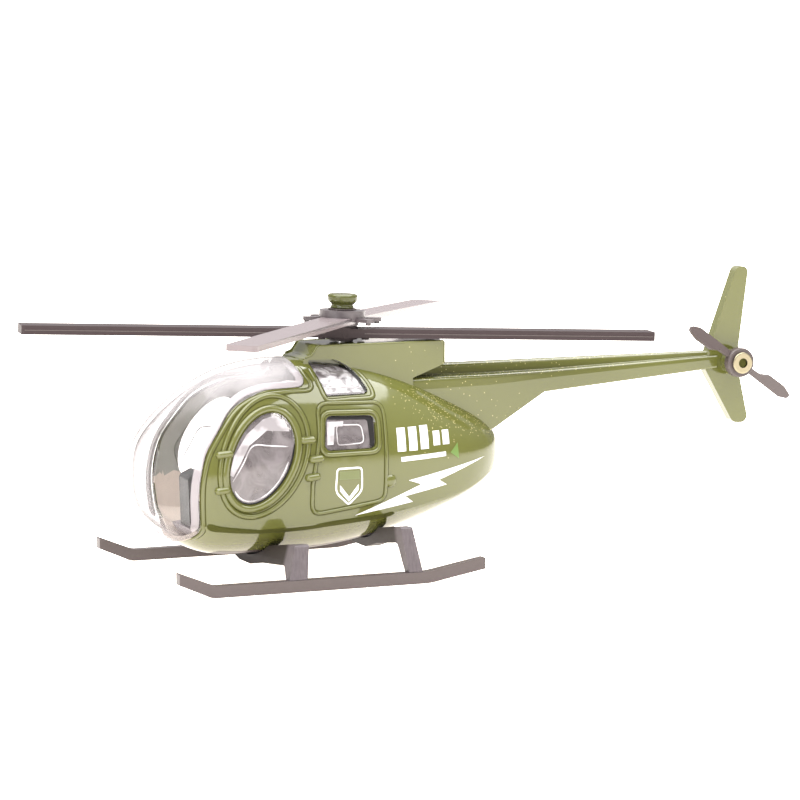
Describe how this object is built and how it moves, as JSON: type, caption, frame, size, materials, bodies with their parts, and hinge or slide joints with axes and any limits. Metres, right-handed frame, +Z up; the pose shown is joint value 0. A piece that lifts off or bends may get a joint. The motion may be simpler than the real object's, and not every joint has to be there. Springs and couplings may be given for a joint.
{
  "type": "toy helicopter",
  "caption": "Die-cast toy helicopter with an egg-shaped clear-nosed cabin, stacked free-spinning main rotors, a spinning tail rotor, upright tail fins and skid landing gear.",
  "frame": {"origin": "bottom centre of the whole toy's box, on the ground that the skids stand on", "axes": "+X towards the nose, +Y towards the helicopter's left side, +Z up"},
  "size_m": [0.1622, 0.1019, 0.0574],
  "materials": {
    "green_enamel": "glossy olive green enamel with fine gold flake",
    "dark_plastic": "matte dark grey-brown moulded plastic",
    "clear_plastic": "clear polished plastic",
    "seat_plastic": "matte beige moulded plastic",
    "panel_plastic": "matte black moulded plastic",
    "steel": "plain bright steel",
    "brass": "pale polished brass"
  },
  "bodies": {
    "airframe": {"body_casting": "green_enamel", "windscreen": "clear_plastic", "left_window_insert": "clear_plastic", "right_window_insert": "clear_plastic", "belly_plate": "dark_plastic", "belly_screws": "steel", "front_cross_member": "dark_plastic", "rear_cross_member": "dark_plastic", "left_skid": "dark_plastic", "right_skid": "dark_plastic", "interior_floor": "seat_plastic", "pilot_seat": "seat_plastic", "copilot_seat": "seat_plastic", "rear_bench": "seat_plastic", "instrument_panel": "panel_plastic", "mast_pin": "steel", "push_nut": "steel", "lower_washer": "dark_plastic", "upper_washer": "dark_plastic", "mast_knob": "green_enamel", "tail_rivet": "brass"},
    "lower_rotor": {"lower_rotor": "dark_plastic"},
    "upper_rotor": {"upper_rotor": "dark_plastic"},
    "tail_rotor": {"tail_rotor": "dark_plastic"}
  },
  "joints": [
    {"name": "lower_rotor_spin", "type": "hinge", "parent": "airframe", "child": "lower_rotor", "pos_m": [0.01766, 0, 0.0471], "axis": [-0.0332, -0.0099, 0.9994], "continuous": true},
    {"name": "upper_rotor_spin", "type": "hinge", "parent": "airframe", "child": "upper_rotor", "pos_m": [0.01766, 0, 0.0471], "axis": [-0.0332, -0.0099, 0.9994], "continuous": true},
    {"name": "tail_rotor_spin", "type": "hinge", "parent": "airframe", "child": "tail_rotor", "pos_m": [-0.06934, 0.0046, 0.0379], "axis": [0, 1, 0], "continuous": true}
  ]
}
